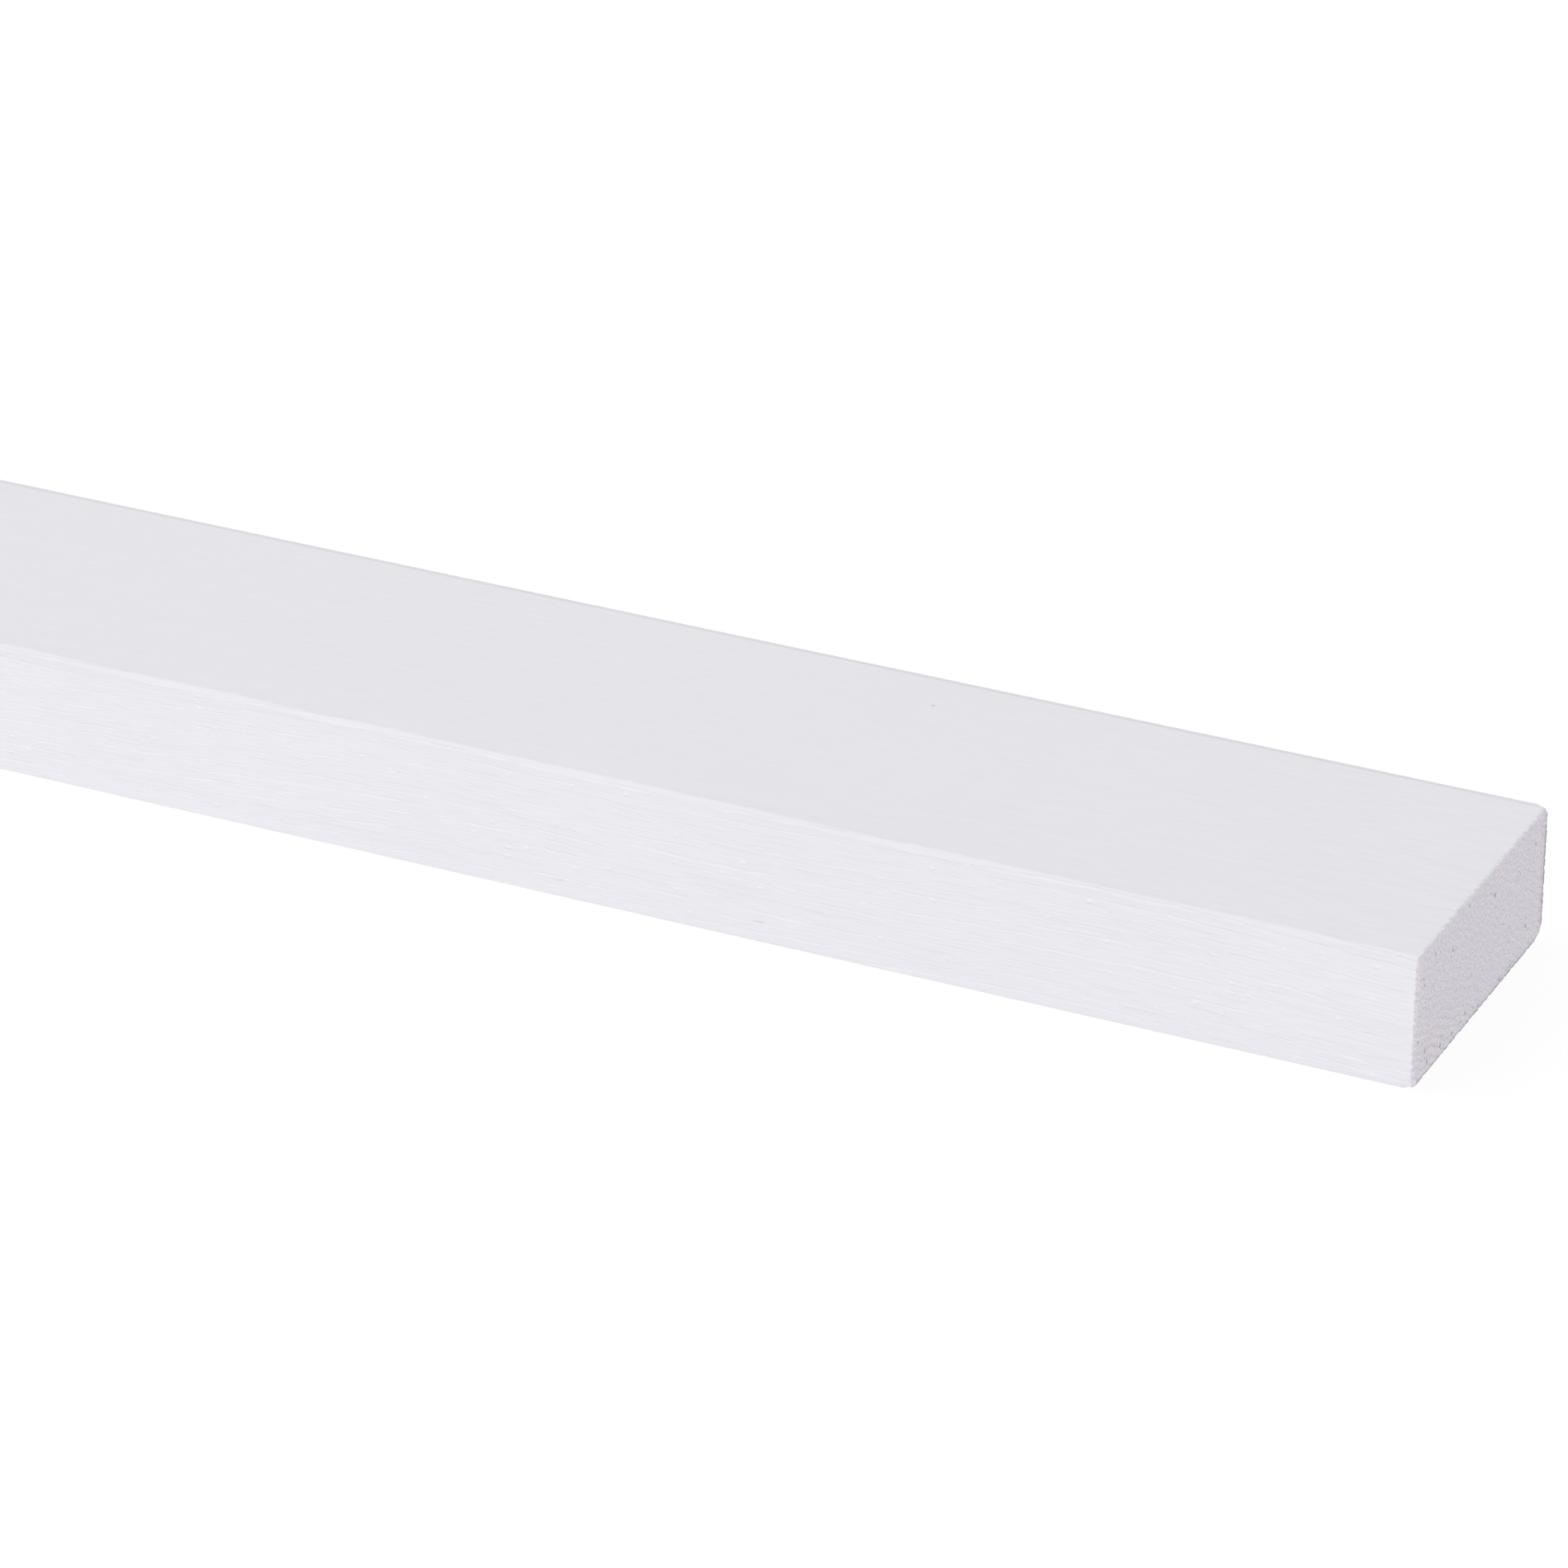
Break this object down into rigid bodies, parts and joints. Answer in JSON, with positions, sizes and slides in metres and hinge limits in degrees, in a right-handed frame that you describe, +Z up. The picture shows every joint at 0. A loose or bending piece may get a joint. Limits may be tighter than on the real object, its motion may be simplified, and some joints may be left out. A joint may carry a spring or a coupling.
{
  "type": "planed batten",
  "caption": "Straight length of planed softwood batten, primed white, with rounded long corners and square sawn ends.",
  "frame": {"origin": "middle of the underside, halfway along the length, on the surface that the batten lies on", "axes": "+X along the grain towards the sawn end that the picture shows, +Y across the wide face away from the viewer, +Z up"},
  "size_m": [2.4, 0.044, 0.018],
  "materials": {
    "primed_softwood": "matte"
  },
  "bodies": {
    "root": {"batten": "primed_softwood"}
  },
  "joints": []
}
